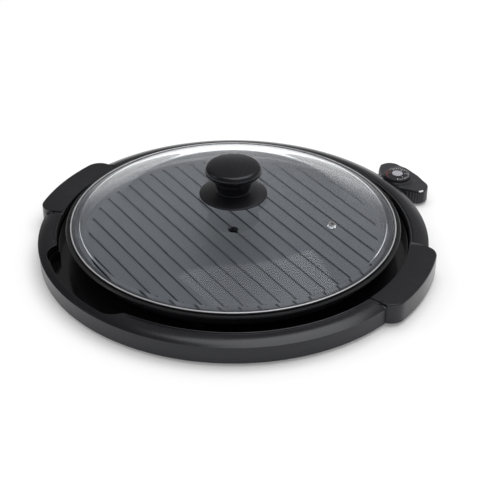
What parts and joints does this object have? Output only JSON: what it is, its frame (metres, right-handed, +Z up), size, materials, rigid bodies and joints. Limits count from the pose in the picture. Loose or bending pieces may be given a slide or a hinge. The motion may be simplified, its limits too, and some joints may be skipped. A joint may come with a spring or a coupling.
{
  "type": "electric indoor grill",
  "caption": "Round electric table grill with a grooved plate over a drip tray, a base ring with grips, a domed lift-off glass lid with a knob, and a plug-in heat control with a dial.",
  "frame": {"origin": "on the surface the grill stands on, under the middle of the round plate", "axes": "+Z up, +X towards one of the two grips; the plug-in control leaves at 59 degrees from +X towards +Y"},
  "size_m": [0.4478, 0.4445, 0.1074],
  "materials": {
    "base_plastic": "satin",
    "ring_plastic": "satin",
    "foot_rubber": "matte",
    "screw_steel": "satin",
    "tray_enamel": "gloss",
    "plate_coating": "satin",
    "element_sheath": "satin",
    "insulator_ceramic": "matte",
    "pin_metal": "satin",
    "strap_steel": "satin",
    "leg_plastic": "matte",
    "lid_glass": "polished",
    "band_steel": "satin",
    "eyelet_steel": "polished",
    "gasket_rubber": "matte",
    "knob_plastic": "satin",
    "shield_plastic": "satin",
    "control_plastic": "satin",
    "contact_brass": "satin",
    "probe_steel": "satin",
    "block_phenolic": "matte",
    "lens_clear": "gloss",
    "lamp_glass": "gloss",
    "gland_rubber": "matte",
    "dial_plastic": "satin",
    "dial_silver": "satin"
  },
  "bodies": {
    "base": {"base_pan": "base_plastic", "rubber_feet": "foot_rubber", "housing_ring": "ring_plastic", "housing_screws": "screw_steel", "drip_tray": "tray_enamel", "grill_plate": "plate_coating", "heating_element": "element_sheath", "terminal_insulators": "insulator_ceramic", "terminal_pins": "pin_metal", "terminal_bracket": "strap_steel", "bracket_screws": "screw_steel", "element_clips": "strap_steel", "clip_screws": "screw_steel", "plate_legs": "leg_plastic", "plate_leg_screws": "screw_steel"},
    "lid": {"lid_glass": "lid_glass", "lid_rim_band": "band_steel", "steam_vent_eyelet": "eyelet_steel", "knob_outer_gasket": "gasket_rubber", "knob_heat_shield": "shield_plastic", "lid_knob": "knob_plastic", "knob_inner_gasket": "gasket_rubber", "knob_washer": "screw_steel", "knob_screw": "screw_steel"},
    "control": {"control_lower_cover": "control_plastic", "control_upper_cover": "control_plastic", "control_screws": "screw_steel", "contact_sleeves": "contact_brass", "probe_rod": "probe_steel", "thermostat_block": "block_phenolic", "thermostat_blades": "contact_brass", "indicator_lens": "lens_clear", "indicator_lamp": "lamp_glass", "cord_gland": "gland_rubber"},
    "dial": {"dial_shaft": "screw_steel", "control_dial": "dial_plastic", "dial_face": "dial_silver"}
  },
  "joints": [
    {"name": "lid_lift", "type": "slide", "parent": "base", "child": "lid", "axis": [0, 0, 1], "range_m": [0, 0.15]},
    {"name": "control_pull", "type": "slide", "parent": "base", "child": "control", "axis": [0.515, 0.8572, 0], "range_m": [0, 0.1]},
    {"name": "dial_turn", "type": "hinge", "parent": "control", "child": "dial", "pos_m": [0.11794, 0.19629, 0.0238], "axis": [0, 0, -1], "range_deg": [0, 280]}
  ]
}
